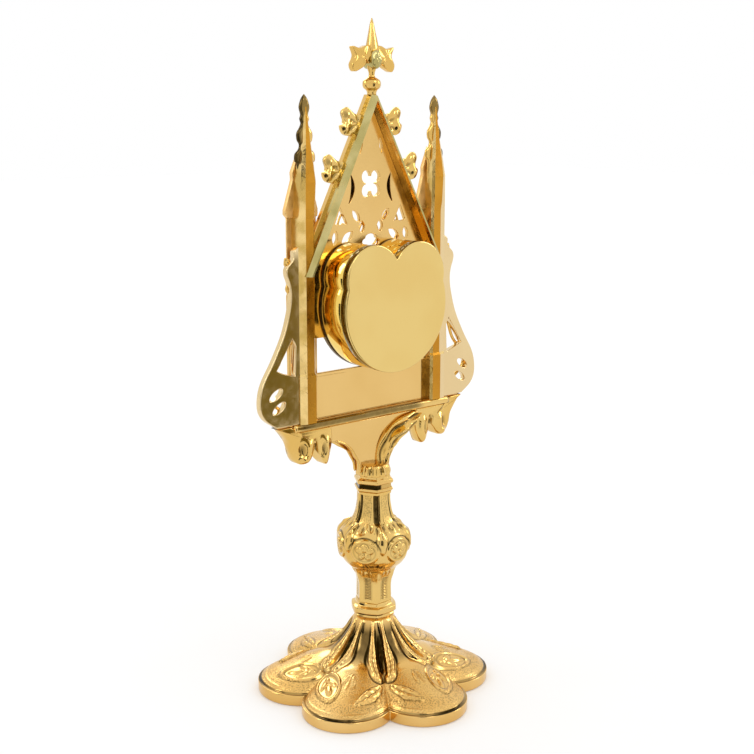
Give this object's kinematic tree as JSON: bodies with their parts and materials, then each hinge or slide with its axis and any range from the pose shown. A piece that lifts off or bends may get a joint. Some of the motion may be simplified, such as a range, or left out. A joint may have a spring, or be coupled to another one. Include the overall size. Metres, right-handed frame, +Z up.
{
  "type": "reliquary",
  "caption": "Standing gilt-brass altar reliquary with a lobed foot, knopped stem and Gothic front that carries a glazed three-lobed capsule with a lift-off back lid.",
  "frame": {"origin": "middle of the foot's underside, on the stem's axis, at the surface it stands on", "axes": "+Z up the stem; -Y the way the glazed front faces; +Y the way the capsule's lid faces; +X towards the wing at the viewer's right from the front"},
  "size_m": [0.1244, 0.108, 0.3],
  "materials": {
    "gilt_foot": "gilt, polished with a stippled ground",
    "gilt_polished": "gilt, polished",
    "gilt_cast": "gilt casting, polished with fine pits",
    "gilt_plate": "gilt, lightly brushed",
    "gilt_mirror": "gilt, mirror polished",
    "clear_glass": "clear"
  },
  "bodies": {
    "root": {"foot": "gilt_foot", "lower_collar": "gilt_polished", "stem": "gilt_cast", "top_collar": "gilt_polished", "bracket": "gilt_cast", "base_moulding": "gilt_polished", "facade_plate": "gilt_plate", "pinnacle_left": "gilt_cast", "pinnacle_right": "gilt_cast", "gable_frame": "gilt_cast", "finial": "gilt_cast", "capsule_case": "gilt_mirror", "capsule_lid": "gilt_mirror", "window_frame": "gilt_polished", "window_glass": "clear_glass"}
  },
  "joints": []
}
